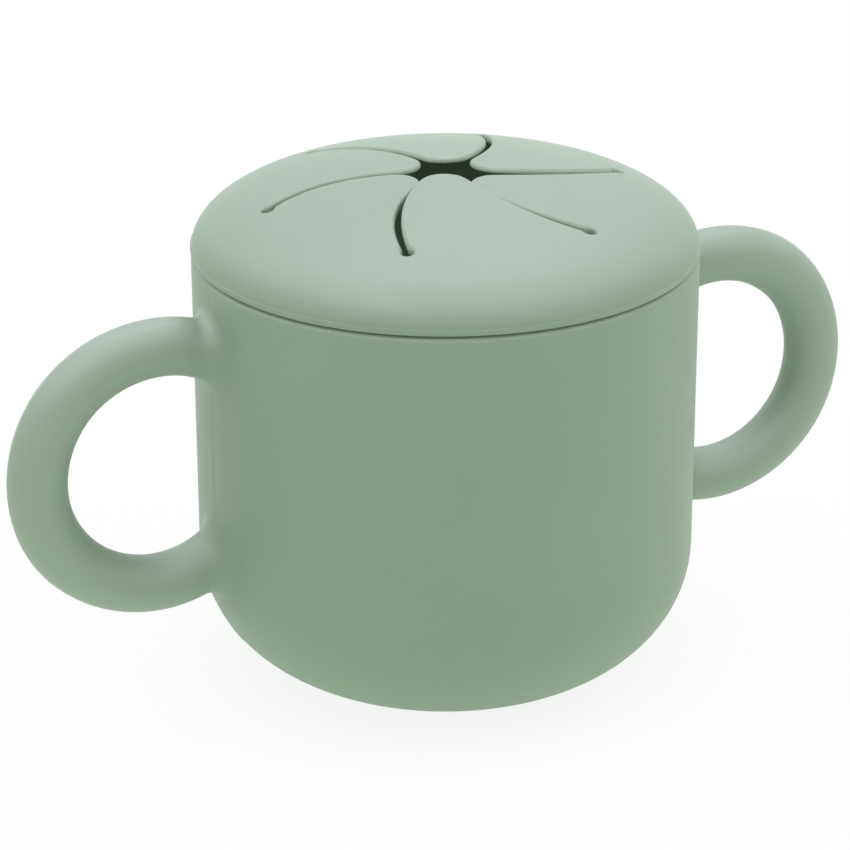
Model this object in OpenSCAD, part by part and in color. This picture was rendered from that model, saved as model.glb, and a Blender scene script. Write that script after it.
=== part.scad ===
// Toddler snack container: a soft round cup with two ring handles and a domed
// lid that is slit into six petals, so a small hand can reach in and nothing
// falls out. Millimetres, +Z up. The origin is the centre of the flat base,
// and the handles lie along X.

/* [Cup] */
// Outer diameter of the cup at its rim, which is also the lid's diameter
rim_d = 80; // [74:1:90]
// Height of the rim above the base
cup_h = 70; // [62:1:80]
// Thickness of the side wall at the rim
wall = 2.8; // [2.4:0.1:3.4]
// Thickness of the floor
floor_t = 3.2; // [2.6:0.1:4.5]
// How much the wall's radius grows from the rim down to the base
flare = 0.3; // [0:0.1:1]
// How far in from the wall the rounded foot reaches
foot_in = 21.8; // [14:0.2:24]
// How far up the wall the rounded foot reaches
foot_up = 20.3; // [14:0.1:24]
// Radius of the rim's outer edge
rim_edge = 0.8; // [0.4:0.1:1]
// Radius of the mouth's inner edge
mouth_edge = 0.5; // [0.2:0.1:0.8]

/* [Handles] */
// Thickness of the round bar that each handle is made of
bar_d = 8.8; // [7:0.1:10]
// Radius of the handle ring, along the middle of its bar
ring_r = 19.3; // [17:0.1:21]
// How far the ring's centre stands out from the cup's rim
ring_out = 9.8; // [8:0.1:12]
// Height of the ring's centre above the base
ring_up = 41.4; // [38:0.1:44]

/* [Lid] */
// Height of the dome above the rim
dome_h = 11.8; // [10:0.1:14]
// Flatness of the dome's middle, where 2 is an ellipse
dome_flat = 2.6; // [2.2:0.1:3]
// Fullness of the dome's shoulder, where 2 is an ellipse
dome_full = 2.3; // [2:0.1:2.6]
// Thickness of the dome
lid_t = 2; // [1.6:0.1:2.4]
// Thickness of the petals at their tips
tip_t = 0.8; // [0.6:0.1:1.4]
// Radius of the lid's lower outer edge
lid_edge = 0.6; // [0.3:0.1:0.8]
// How deep the plug skirt hangs into the cup's mouth
skirt_h = 7; // [5:0.5:10]
// Thickness of the plug skirt
skirt_t = 2.4; // [1.8:0.1:3]
// Radial clearance between the skirt and the cup's mouth
skirt_gap = 0.3; // [0.25:0.05:0.4]
// Radius of the rounded hollow inside the lid's shoulder
under_round = 5; // [4:0.5:5.5]
// Radius of the sealing bead round the skirt
bead_r = 0.8; // [0.5:0.1:1]
// How far the bead stands proud of the skirt
bead_out = 0.15; // [0.05:0.05:0.2]

/* [Petals] */
// Distance from the lid's centre to the end of each slit
slit_end_r = 28.8; // [27:0.2:29.4]
// Width of a slit
slit_w = 1; // [0.8:0.1:1.2]
// Direction of the first slit's end, in degrees from the handles' line
slit_end_a = -6.3; // [-30:0.1:30]
// How far a straight-running slit would turn on its way to the centre
slit_turn = 34.5; // [20:0.5:42]
// How much of that turn is taken back towards the centre
slit_ease = 11.4; // [0:0.1:14]
// Diameter of the round hole that ends each slit
relief_d = 2.4; // [2:0.1:3]
// Distance from the lid's centre to the middle of each petal's round tip
tip_r = 9.2; // [8:0.1:10]
// Clearance round the bending line of a petal
hinge_gap = 0.3; // [0.25:0.05:0.4]

/* [Hidden] */

$fn = 96;
petals = 6;
steps = 16;
over = 1;
sage = [0.54, 0.62, 0.53];
pale_sage = [0.70, 0.76, 0.71];

rim_r = rim_d / 2;
mouth_r = rim_r - wall;
foot_hollow_in = foot_in - wall;
foot_hollow_up = foot_up - floor_t;
skirt_r = mouth_r - skirt_gap;
skirt_in_r = skirt_r - skirt_t;
lead_in = skirt_t / 3;
relief_r = relief_d / 2;

// How far a rounded foot is in from its wall at a height, as a share of its reach
function foot_share(h, up) = h >= up ? 0 : 1 - sqrt(1 - pow(1 - h / up, 2));

// Outer radius of the cup's wall at a height
function wall_r(z) = rim_r + flare * (1 - z / cup_h) - foot_in * foot_share(z, foot_up);

// Points on an arc about a centre, from one angle to another
function arc(centre, r, from, to) =
    [for (i = [0:steps / 2]) let (a = from + (to - from) * i * 2 / steps)
        centre + r * [cos(a), sin(a)]];

foot_outside = [for (i = [0:steps]) let (z = foot_up * (1 - cos(90 * i / steps)))
    [wall_r(z), z]];
foot_inside = [for (i = [0:steps]) let (h = foot_hollow_up * (1 - cos(90 * i / steps)))
    [mouth_r - foot_hollow_in * foot_share(h, foot_hollow_up), floor_t + h]];

// Everything within the cup's outer face, up to the rim
module cup_outside() {
    rotate_extrude()
        polygon(concat([[0, 0]], foot_outside,
            arc([rim_r - rim_edge, cup_h - rim_edge], rim_edge, 0, 90), [[0, cup_h]]));
}

// The space inside the cup, open at the mouth
module cup_inside() {
    rotate_extrude()
        polygon(concat([[0, floor_t]], foot_inside,
            arc([mouth_r + mouth_edge, cup_h - mouth_edge], mouth_edge, 180, 90),
            [[mouth_r + mouth_edge, cup_h + over], [0, cup_h + over]]));
}

module cup_body() {
    color(sage)
        difference() {
            cup_outside();
            cup_inside();
        }
}

// One ring handle on the +X side, cut to the wall that it grows from
module handle() {
    difference() {
        translate([rim_r + ring_out, 0, ring_up])
            rotate([90, 0, 0])
                rotate_extrude()
                    translate([ring_r, 0])
                        circle(d = bar_d);
        cup_outside();
        cup_inside();
    }
}

module handle_right() {
    color(sage) handle();
}

module handle_left() {
    color(sage) mirror([1, 0, 0]) handle();
}

// Height of the dome's top above the rim at a radius
function dome_z(r) = dome_h * pow(1 - pow(r / rim_r, dome_flat), 1 / dome_full);

// A slit's direction at a radius, and how far it leans away from the radius there
function slit_a(k, r) = let (s = 1 - r / slit_end_r)
    360 / petals * k + slit_end_a - slit_turn * s + slit_ease * s * s;
function slit_lean(r) = let (s = 1 - r / slit_end_r)
    atan(r / slit_end_r * (slit_turn - 2 * slit_ease * s) * PI / 180);

// A point on one side of a slit: side is 1 for the anticlockwise face, -1 for the other
function slit_point(k, r, side) =
    let (a = slit_a(k, r) + side * slit_w / 2 / (r * cos(slit_lean(r))) * 180 / PI)
    r * [cos(a), sin(a)];
function slit_end(k) = slit_end_r * [cos(slit_a(k, slit_end_r)), sin(slit_a(k, slit_end_r))];

// A petal bends along the straight line between the ends of its two slits
half_petal = 180 / petals;
hinge_r = slit_end_r * cos(half_petal);
hinge_len = 2 * slit_end_r * sin(half_petal);
hinge_top = cup_h + dome_z(hinge_r);
hinge_bottom = cup_h + dome_z(slit_end_r) - lid_t;
hinge_z = (hinge_top + hinge_bottom) / 2;
knuckle_r = (hinge_top - hinge_bottom) / 2;

// A petal's outline in plan: out of one slit's end, round the tip, back to the next end
tip_meets_r = tip_r * cos(half_petal);
tip_round = tip_r * sin(half_petal) - slit_w / 2;
slit_radii = [for (i = [0:steps]) slit_end_r + (tip_meets_r - slit_end_r) * i / steps];
function petal_outline(k) =
    let (middle = slit_a(k, tip_meets_r) + half_petal,
         tip = tip_r * [cos(middle), sin(middle)])
    concat([slit_end(k)],
        [for (i = [1:steps - 1]) slit_point(k, slit_radii[i], 1)],
        arc(tip, tip_round, middle + 270 - half_petal, middle + 90 + half_petal),
        [for (i = [steps - 1:-1:1]) slit_point(k + 1, slit_radii[i], -1)],
        [slit_end(k + 1)]);

// The domed sheet that the petals are cut from, which thins from their bending lines
// to their tips
function sheet_t(r) = tip_t + (lid_t - tip_t)
    * max(0, min(1, (r - tip_meets_r) / (hinge_r - tip_meets_r)));
sheet_r = slit_end_r + relief_d;
sheet_radii = [for (i = [0:steps]) sheet_r * i / steps];
module dome_sheet() {
    rotate_extrude()
        polygon(concat(
            [for (r = sheet_radii) [r, cup_h + dome_z(r)]],
            [for (i = [steps:-1:0]) let (r = sheet_radii[i])
                [r, cup_h + dome_z(r) - sheet_t(r)]]));
}

// A round bar along a petal's bending line
module hinge_bar(k, r, end_gap) {
    rotate([0, 0, slit_a(k, slit_end_r) + half_petal])
        translate([hinge_r, 0, hinge_z])
            rotate([90, 0, 0])
                cylinder(r = r, h = hinge_len - 2 * (relief_r + end_gap), center = true);
}

// The round holes that end the slits. A petal keeps a little further from them.
module relief_holes(r) {
    for (k = [0:petals - 1])
        translate([slit_end(k)[0], slit_end(k)[1], cup_h])
            cylinder(r = r, h = dome_h + over);
}

module petal(k) {
    color(pale_sage)
        difference() {
            intersection() {
                dome_sheet();
                union() {
                    translate([0, 0, cup_h])
                        linear_extrude(dome_h + over)
                            polygon(petal_outline(k));
                    hinge_bar(k, knuckle_r, 2 * hinge_gap);
                }
            }
            relief_holes(relief_r + 1.5 * hinge_gap);
        }
}

// The lid's section: rim edge, dome, hollow underside and plug skirt. The dome
// starts at the angle at which it has risen past the rounded lower edge.
edge_a = asin(pow(lid_edge / dome_h, dome_full / 2));
under_r = skirt_in_r - under_round;
lid_top = [for (i = [1:2 * steps]) let (a = edge_a + (90 - edge_a) * i / (2 * steps))
    [rim_r * pow(cos(a), 2 / dome_flat), cup_h + dome_h * pow(sin(a), 2 / dome_full)]];
lid_under = [for (i = [0:steps - 1]) let (r = under_r * i / steps)
    [r, cup_h + dome_z(r) - lid_t]];
module lid_solid() {
    rotate_extrude()
        polygon(concat(
            [[skirt_r, cup_h]],
            arc([rim_r - lid_edge, cup_h + lid_edge], lid_edge, -90, 0),
            lid_top,
            lid_under,
            arc([under_r, cup_h + dome_z(under_r) - lid_t - under_round], under_round, 90, 0),
            [[skirt_in_r, cup_h - skirt_h],
             [skirt_r - lead_in, cup_h - skirt_h],
             [skirt_r, cup_h - skirt_h + lead_in]]));
}

module sealing_bead() {
    translate([0, 0, cup_h - skirt_h / 2])
        rotate_extrude()
            translate([skirt_r + bead_out - bead_r, 0])
                circle(r = bead_r);
}

module lid_ring() {
    color(pale_sage)
        difference() {
            union() {
                lid_solid();
                sealing_bead();
            }
            translate([0, 0, cup_h])
                linear_extrude(dome_h + over)
                    polygon([for (k = [0:petals - 1]) slit_end(k)]);
            for (k = [0:petals - 1]) hinge_bar(k, knuckle_r + hinge_gap, -hinge_gap / 2);
            relief_holes(relief_r);
        }
}

cup_body();
handle_left();
handle_right();
lid_ring();
petal(0);  // petal_1
petal(1);  // petal_2
petal(2);  // petal_3
petal(3);  // petal_4
petal(4);  // petal_5
petal(5);  // petal_6
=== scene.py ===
"""Visual model of a toddler snack container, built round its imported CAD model.

The container is two soft silicone mouldings: a round cup with a ring handle on
each side, and a domed lid that is pressed into the cup's mouth. The lid is slit
into six petals round a star-shaped hole, so a small hand can reach in and
nothing falls out.

The frame is the CAD model's: the origin is the centre of the flat base, +Z is
up and the handles lie along X. Shapes are worked out in millimetres, and every
mesh is in metres.
"""

import math

import bmesh
import bpy
import numpy as np
from mathutils import Matrix, Vector
from mathutils.geometry import delaunay_2d_cdt


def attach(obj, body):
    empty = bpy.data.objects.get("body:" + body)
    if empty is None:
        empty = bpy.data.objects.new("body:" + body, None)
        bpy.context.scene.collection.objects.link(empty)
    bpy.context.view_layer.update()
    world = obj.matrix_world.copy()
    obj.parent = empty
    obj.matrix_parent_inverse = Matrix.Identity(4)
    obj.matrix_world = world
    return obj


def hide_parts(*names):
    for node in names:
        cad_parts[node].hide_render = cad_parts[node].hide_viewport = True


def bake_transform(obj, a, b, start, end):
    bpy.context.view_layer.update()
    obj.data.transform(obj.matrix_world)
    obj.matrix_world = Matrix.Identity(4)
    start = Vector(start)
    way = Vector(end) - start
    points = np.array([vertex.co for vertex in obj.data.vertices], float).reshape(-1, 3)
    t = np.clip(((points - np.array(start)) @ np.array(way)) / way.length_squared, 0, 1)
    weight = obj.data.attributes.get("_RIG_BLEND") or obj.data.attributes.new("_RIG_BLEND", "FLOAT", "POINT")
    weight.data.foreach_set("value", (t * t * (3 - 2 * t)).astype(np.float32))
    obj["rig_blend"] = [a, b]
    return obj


MM = 0.001

# The cup
RIM_R = 40.0
CUP_H = 70.0
WALL = 2.8
FLOOR_T = 3.2
FLARE = 0.3
FOOT_IN = 21.8
FOOT_UP = 20.3
RIM_EDGE = 1.1
MOUTH_EDGE = 0.5

# The handle rings. The bar's middle line is a circle that swells and draws in a
# little as it goes round: each wave is (turns, cosine share, sine share).
RING_OUT = 9.83
RING_UP = 41.36
RING_R = 19.28
RING_WAVES = ((2, -0.504, -0.319), (3, 0.170, 0.152), (4, -0.085, -0.064))
BAR_DEEP = 4.59
BAR_WIDE = 4.20
BAR_SWELL = 0.10
# A root's rounding above and below, and how much more it has at its sides
ROOT_ROUND = 2.6
ROOT_SIDE = 0.5
PARTING_H = 0.08

# The lid
DOME_H = 11.8
DOME_FLAT = 2.6
DOME_FULL = 2.3
LID_T = 2.0
LID_EDGE = 0.5
# A fine line stands out a little above the lid's edge
LIP_H = 1.25
LIP_OUT = 0.16
SEAM_GAP = 0.16
SKIRT_H = 7.0
SKIRT_T = 2.4
SKIRT_GAP = 0.3
UNDER_ROUND = 5.0
BEAD_R = 0.8
BEAD_OUT = 0.15
PETALS = 6
SLIT_END_R = 28.8
SLIT_W = 1.0
SLIT_END_A = -6.3
SLIT_TURN = 34.5
SLIT_EASE = 11.4
RELIEF_R = 1.0
TIP_R = 9.2
TIP_T = 0.8
SLIT_END_T = 1.3
SLIT_ROUND = 0.5
UNDER_EDGE = 0.15

# How far each petal's tip stands above the plain dome: soft flaps never settle quite
# level. The first share grows steadily from a soft start at the bending line, and the
# second curls up near the tip. LIFT_REACH is how far the tip is from the soft start.
PETAL_LIFTS = ((0.8, 0.0), (0.5, 0.35), (0.3, 0.1), (0.2, 0.1), (2.3, -0.4), (0.4, -0.2))
LIFT_REACH = 18.6
LIFT_START = 2.0
CURL_CURVE = 4.0

# A petal's own mesh starts this far outside its bending line, and it bends from
# there to this far inside the line. The ring's plan reaches out to PLAN_R.
BEND_OUT = 0.4
BEND_IN = 3.2
PLAN_R = 32.4

MOUTH_R = RIM_R - WALL
SKIRT_R = MOUTH_R - SKIRT_GAP
SKIRT_IN_R = SKIRT_R - SKIRT_T
UNDER_R = SKIRT_IN_R - UNDER_ROUND
SECTOR = 2 * math.pi / PETALS
HINGE_R = SLIT_END_R * math.cos(SECTOR / 2)
HINGE_A = math.radians(SLIT_END_A) + SECTOR / 2

# How far two neighbouring points stand apart where a slope is worked out
NEAR = 1e-4


# Small tools

def steps(start, stop, count):
    """count + 1 evenly spaced values from start to stop."""
    return [start + (stop - start) * i / count for i in range(count + 1)]


def bisect(wanted, low, high):
    """Where a function changes sign between low and high."""
    low_side = wanted(low) > 0
    for _ in range(60):
        middle = (low + high) / 2
        if (wanted(middle) > 0) == low_side:
            low = middle
        else:
            high = middle
    return (low + high) / 2


def way(turn):
    """A direction in the plan, turned so far from +X."""
    return np.array([math.cos(turn), math.sin(turn)])


def add_object(name, data):
    """A new object in the scene, with a mesh, light or camera for its data."""
    thing = bpy.data.objects.new(name, data)
    bpy.context.scene.collection.objects.link(thing)
    return thing


def add_piece(name, points, faces):
    """A new mesh piece from points in millimetres."""
    mesh = bpy.data.meshes.new(name)
    mesh.from_pydata([[c * MM for c in p] for p in points], [], faces)
    mesh.update()
    return add_object(name, mesh)


def shade(piece, sharp_over):
    """Smooth shading, with a crease only where faces meet at more than an angle."""
    piece.data.shade_smooth()
    piece.data.set_sharp_from_angle(angle=math.radians(sharp_over))


def face_out(piece):
    """Points every face of a closed piece outwards."""
    shell = bmesh.new()
    shell.from_mesh(piece.data)
    bmesh.ops.recalc_face_normals(shell, faces=shell.faces)
    shell.to_mesh(piece.data)
    shell.free()


# The cup's section

def foot_share(h, up):
    """How far a rounded foot is in from its wall at a height, as a share of its reach."""
    return 0.0 if h >= up else 1 - math.sqrt(1 - (1 - h / up) ** 2)


def wall_r(z):
    """Outer radius of the cup's wall at a height."""
    return RIM_R + FLARE * (1 - z / CUP_H) - FOOT_IN * foot_share(z, FOOT_UP)


def arc(centre, radius, start, stop, count):
    """Points (r, z) on an arc in the section."""
    return [(centre[0] + radius * math.cos(a), centre[1] + radius * math.sin(a))
            for a in steps(math.radians(start), math.radians(stop), count)]


# The windows that the handles' roots fill: their heights, their rows, and how many
# columns they reach to each side
LOW_ROOT = (14.6, 34.8)
HIGH_ROOT = (48.0, 68.0)
ROOT_ROWS = 14
ROOT_COLUMNS = 11

# The other rows of the cup's mesh, and its columns in degrees
FOOT_ROWS = 22
MIDDLE_ROWS = 9
BASE_ROWS = 5
RIM_ROWS = 8
MOUTH_ROWS = 5
INNER_WALL_ROWS = 12
INNER_FOOT_ROWS = 16
COLUMNS = 240
FINE_COLUMNS = (0.26, 0.57)


def outer_rows():
    """Heights of the wall's rows, and the first row of each handle root's window."""
    foot_turn = math.acos(1 - LOW_ROOT[0] / FOOT_UP)
    heights = [FOOT_UP * (1 - math.cos(a)) for a in steps(0, foot_turn, FOOT_ROWS)]
    low = len(heights) - 1
    heights += steps(*LOW_ROOT, ROOT_ROWS)[1:]
    heights += steps(LOW_ROOT[1], HIGH_ROOT[0], MIDDLE_ROWS)[1:]
    high = len(heights) - 1
    heights += steps(*HIGH_ROOT, ROOT_ROWS)[1:]
    return heights, low, high


def inner_section():
    """Points (r, z) from the rim's outer edge over the mouth and down to the floor."""
    rim = arc((RIM_R - RIM_EDGE, CUP_H - RIM_EDGE), RIM_EDGE, 0, 90, RIM_ROWS)
    mouth = arc((MOUTH_R + MOUTH_EDGE, CUP_H - MOUTH_EDGE), MOUTH_EDGE, 90, 180,
                MOUTH_ROWS)
    up = FOOT_UP - FLOOR_T
    wall = [(MOUTH_R, z)
            for z in steps(CUP_H - MOUTH_EDGE, FOOT_UP, INNER_WALL_ROWS)[1:]]
    turns = steps(math.pi / 2, 0, INNER_FOOT_ROWS)[1:]
    foot = [(MOUTH_R - (FOOT_IN - WALL) * foot_share(h, up), FLOOR_T + h)
            for h in [up * (1 - math.cos(a)) for a in turns]]
    floor = [(r, FLOOR_T) for r in steps(foot[-1][0], 0, BASE_ROWS)[1:-1]]
    return rim + mouth + wall + foot + floor


def wall_turns():
    """Directions of the wall's columns, with finer ones at the mould's parting line."""
    even = [math.radians(360 / COLUMNS * i) for i in range(COLUMNS)]
    fine = [math.radians(a) for a in FINE_COLUMNS]
    extra = [base + side * a for base in (0, math.pi) for side in (-1, 1) for a in fine]
    return sorted(a % (2 * math.pi) for a in even + extra)


# The handles

# Where round the ring the bar can meet the wall, and how far before that its root
# can start, in degrees. Then the rows of a root's curve, of the wall round it and
# of the bar.
MEET_FROM, MEET_TO = 70, 165
START_WITHIN = 30
CURVE_ROWS = 9
EASE_ROWS = 6
BAR_ROWS = 100


def ring_r(phi):
    """Radius of the bar's middle line round the ring's centre."""
    return RING_R + sum(c * math.cos(n * phi) + s * math.sin(n * phi)
                        for n, c, s in RING_WAVES)


def ring_middle(phi):
    """A point (x, z) on the bar's middle line."""
    return np.array([RIM_R + RING_OUT + ring_r(phi) * math.cos(phi),
                     RING_UP + ring_r(phi) * math.sin(phi)])


def bar_point(phi, psi):
    """A point on the right handle's skin: phi goes round the ring, psi round the bar."""
    along = ring_middle(phi + NEAR) - ring_middle(phi - NEAR)
    along /= np.linalg.norm(along)
    swell = BAR_SWELL * math.cos(phi)
    deep = (BAR_DEEP + swell) * math.cos(psi)
    x, z = ring_middle(phi) + deep * np.array([along[1], -along[0]])
    return np.array([x, (BAR_WIDE + swell) * math.sin(psi), z])


def wall_point(across, z):
    """A point on the wall's skin, so far across from the handles' line."""
    turn = across / RIM_R
    return np.array([wall_r(z) * math.cos(turn), wall_r(z) * math.sin(turn), z])


def wall_normal(across, z):
    """The wall's outward direction at that point."""
    lean = (wall_r(z + NEAR) - wall_r(z - NEAR)) / (2 * NEAR)
    normal = np.array([math.cos(across / RIM_R), math.sin(across / RIM_R), -lean])
    return normal / np.linalg.norm(normal)


def bar_meets_wall(end, psi):
    """How far round the ring a line along the bar meets the cup's wall."""
    def outside(phi):
        x, y, z = bar_point(end * phi, psi)
        return np.hypot(x, y) - wall_r(z)

    return end * bisect(outside, math.radians(MEET_FROM), math.radians(MEET_TO))


def root_curve(first, last, along, normal):
    """A rounded line that leaves the bar along it and comes to lie along the wall."""
    corner = first + along * (normal @ (last - first)) / (normal @ along)
    inward = (last - corner) / np.linalg.norm(last - corner)
    weight = math.cos(math.acos(max(-1, min(1, along @ inward))) / 2)
    points = []
    for t in steps(0, 1, CURVE_ROWS)[1:]:
        a, b, c = (1 - t) ** 2, 2 * t * (1 - t) * weight, t * t
        points.append((a * first + b * corner + c * last) / (a + b + c))
    return points


def root_rows(end, psis):
    """A handle's root: where the bar starts, the rounded rows from it to the wall, and
    where they land. end is 1 for the upper root and -1 for the lower one."""
    hits = [bar_meets_wall(end, psi) for psi in psis]
    points = [bar_point(phi, psi) for phi, psi in zip(hits, psis)]
    flat = [(RIM_R * math.atan2(p[1], p[0]), p[2]) for p in points]
    middle = np.mean(flat, axis=0)
    starts = []
    rows = [[] for _ in range(CURVE_ROWS)]
    landing = []
    for phi, psi, spot in zip(hits, psis, flat):
        away = np.array(spot) - middle
        reach = ROOT_ROUND * (1 + ROOT_SIDE * math.sin(psi) ** 2)
        land = np.array(spot) + reach * (away / np.linalg.norm(away))
        landing.append(land)
        hit = bar_point(phi, psi)
        leave = bisect(lambda back: np.linalg.norm(bar_point(phi - end * back, psi) - hit)
                       - reach, 0.0, math.radians(START_WITHIN))
        start = phi - end * leave
        starts.append(start)
        first, last = bar_point(start, psi), wall_point(*land)
        along = bar_point(start + end * NEAR, psi) - bar_point(start - end * NEAR, psi)
        along /= np.linalg.norm(along)
        for row, point in zip(rows, root_curve(first, last, along, wall_normal(*land))):
            row.append(point)
    return starts, rows, landing


# The cup as one mesh

# The parting line starts this many rows up the foot
PARTING_FROM = 4
CUP_CREASE = 50


def window_edge(middle, side, first_row, end, row_size):
    """The grid points round a handle root's window, in the order of the bar's psi."""
    half = ROOT_COLUMNS
    rows = range(first_row, first_row + ROOT_ROWS + 1)
    near, far = (rows[-1], rows[0]) if end > 0 else (rows[0], rows[-1])
    walk = -end

    def at(row, column):
        return row * row_size + (middle + side * column) % row_size

    edge = [at(near, c) for c in range(0, half)]
    edge += [at(near + walk * r, half) for r in range(ROOT_ROWS)]
    edge += [at(far, c) for c in range(half, -half, -1)]
    edge += [at(far - walk * r, -half) for r in range(ROOT_ROWS)]
    edge += [at(near, c) for c in range(-half, 0)]
    return edge


def make_cup_mesh():
    """The cup's points, its faces and the points on its parting line."""
    turns = wall_turns()
    size = len(turns)
    heights, low, high = outer_rows()
    section = [(r, 0.0) for r in steps(0, wall_r(0), BASE_ROWS)[1:-1]]
    base = len(section)
    section += [(wall_r(z), z) for z in heights]
    section += inner_section()
    points = [(r * math.cos(a), r * math.sin(a), z) for r, z in section for a in turns]
    windows = {}
    opposite = min(range(size), key=lambda i: abs(turns[i] - math.pi))
    middles = {1: turns.index(0.0), -1: opposite}
    for side in (1, -1):
        for end, first in ((-1, base + low), (1, base + high)):
            windows[side, end] = window_edge(middles[side], side, first, end, size)
    skipped = {(row, (middles[side] + column) % size)
               for side in (1, -1) for first in (base + low, base + high)
               for row in range(first, first + ROOT_ROWS)
               for column in range(-ROOT_COLUMNS, ROOT_COLUMNS)}
    faces = []
    for row in range(len(section) - 1):
        for column in range(size):
            if (row, column) in skipped:
                continue
            beside = (column + 1) % size
            faces.append((row * size + column, row * size + beside,
                          (row + 1) * size + beside, (row + 1) * size + column))
    for row, z in ((0, 0.0), (len(section) - 1, FLOOR_T)):
        points.append((0, 0, z))
        faces += [(row * size + i, row * size + (i + 1) % size, len(points) - 1)
                  for i in range(size)]
    parting = [row * size + middles[side]
               for row in range(base + PARTING_FROM, base + len(heights))
               for side in (1, -1)]
    for side in (1, -1):
        parting += add_handle(points, faces, side, windows)
    return points, faces, parting


def add_handle(points, faces, side, windows):
    """Adds one ring handle and its two roots. Gives the points on its parting line."""
    count = len(windows[side, 1])
    psis = [2 * math.pi * i / count for i in range(count)]
    around = range(count)
    starts = {}
    parting = []

    def add_row(row):
        points.extend((side * p[0], p[1], p[2]) for p in row)
        added = [len(points) - count + i for i in around]
        parting.extend((added[0], added[count // 2]))
        return added

    def join(one, other):
        faces.extend((one[i], one[(i + 1) % count], other[(i + 1) % count], other[i])
                     for i in around)

    roots = {}
    for end in (1, -1):
        starts[end], rows, landing = root_rows(end, psis)
        last = windows[side, end]
        for share in steps(1, 0, EASE_ROWS)[1:-1]:
            ring = []
            for i in around:
                x, y, z = points[windows[side, end][i]]
                across = RIM_R * math.atan2(y, side * x)
                spot = share * np.array([across, z]) + (1 - share) * landing[i]
                ring.append(wall_point(*spot))
            row = add_row(ring)
            join(last, row)
            last = row
        for ring in reversed(rows):
            row = add_row(ring)
            join(last, row)
            last = row
        roots[end] = last
    last = roots[-1]
    for share in steps(0, 1, BAR_ROWS)[:-1]:
        ring = [bar_point(starts[-1][i] + share * (starts[1][i] - starts[-1][i]), psis[i])
                for i in around]
        row = add_row(ring)
        join(last, row)
        last = row
    row = add_row([bar_point(starts[1][i], psis[i]) for i in around])
    join(last, row)
    join(row, roots[1])
    return parting


def raise_line(piece, line, height):
    """Raises a line of points along their normals, as a mould's parting line stands."""
    vertices = piece.data.vertices
    lifts = {i: vertices[i].normal * height * MM for i in sorted(set(line))}
    for index, lift in lifts.items():
        vertices[index].co += lift


def make_cup(finish):
    """The cup with its two handles, in one piece."""
    points, faces, parting = make_cup_mesh()
    cup = add_piece("soft_cup", points, faces)
    face_out(cup)
    raise_line(cup, parting, PARTING_H)
    shade(cup, CUP_CREASE)
    cup.data.materials.append(finish)
    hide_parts("cup_body", "handle_left", "handle_right")
    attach(cup, "cup")


# The lid's plan, seen from above

def slit_point(k, r, out):
    """A point beside slit k's middle line, so far out on its anticlockwise side, and
    the direction of the line there."""
    def middle(radius):
        s = 1 - radius / SLIT_END_R
        turn = SECTOR * k + math.radians(SLIT_END_A - SLIT_TURN * s + SLIT_EASE * s * s)
        return radius * way(turn)

    along = middle(r + NEAR) - middle(r - NEAR)
    along /= np.linalg.norm(along)
    return middle(r) + out * np.array([-along[1], along[0]]), along


def hinge_frame(k):
    """Outward and sideways directions at petal k's bending line."""
    turn = HINGE_A + SECTOR * k
    out = way(turn)
    return out, np.array([-out[1], out[0]])


def slit_end(k):
    """The middle of the hole that slit k ends in."""
    return slit_point(k, SLIT_END_R, 0)[0]


# The rows beside a cut edge lie these gaps from it, closer where the edge rounds over.
# The last one lies on the flat and stays clear of the bending line.
EDGE_ROWS = 6
LAST_GAP = 0.58
EDGE_GAPS = [SLIT_ROUND * (1 - math.cos(a)) for a in steps(0, math.pi / 2, EDGE_ROWS)]
EDGE_GAPS.append(LAST_GAP)

# The steps along each part of a cut edge
HOLE_STEPS = 7
SLIT_STEPS = 46
TIP_STEPS = 24
OUTER_HOLE_STEPS = 18
HINGE_STEPS = 40

# The radii between which a row meets its end hole, and those between which it meets
# the tip's round
HOLE_MEETS = (SLIT_END_R - 8, SLIT_END_R - 0.05)
TIP_MEETS = (4.0, 14.0)

# The loose points inside a petal: their depths past its bending line, and how far
# apart they are down to FINE_DEPTH and below it
DEPTHS = steps(0.35, 5.3, 11) + steps(6.1, 24.5, 23)
FIRST_DEPTHS = (0.15, 0.5)
FINE_DEPTH = 5.5
FINE_PITCH = 0.62
PITCH = 0.8
PETAL_HALF = 17

# The loose points between the petals and the plan's rim, on circles whose points
# stand turned a little from one circle to the next
RING_CIRCLES = steps(26.2, 31.6, 6)
CIRCLE_POINTS = 200
CIRCLE_TURN = 0.013
RIM_POINTS = 240

# How far loose points keep from the cut edges, and how far beside the bending line
# the nearest row stands
PETAL_CLEAR = 0.4
RING_CLEAR = 0.5
LINE_CLEAR = 0.15


def hole_start(k, side, gap):
    """Where a row round slit end k crosses the start of the petal beside it."""
    out, across = hinge_frame(k if side > 0 else k - 1)
    reach = math.sqrt((RELIEF_R + gap) ** 2 - BEND_OUT ** 2)
    return slit_end(k) + BEND_OUT * out + side * reach * across


def round_hole(k, start, stop, turn_way, gap, count):
    """Points round slit end k, from one point to another in one direction."""
    centre = slit_end(k)
    first = math.atan2(*(start - centre)[::-1])
    last = math.atan2(*(stop - centre)[::-1])
    while turn_way * (last - first) < 0:
        last += turn_way * 2 * math.pi
    radius = RELIEF_R + gap
    return [centre + radius * way(a) for a in steps(first, last, count)]


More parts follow.
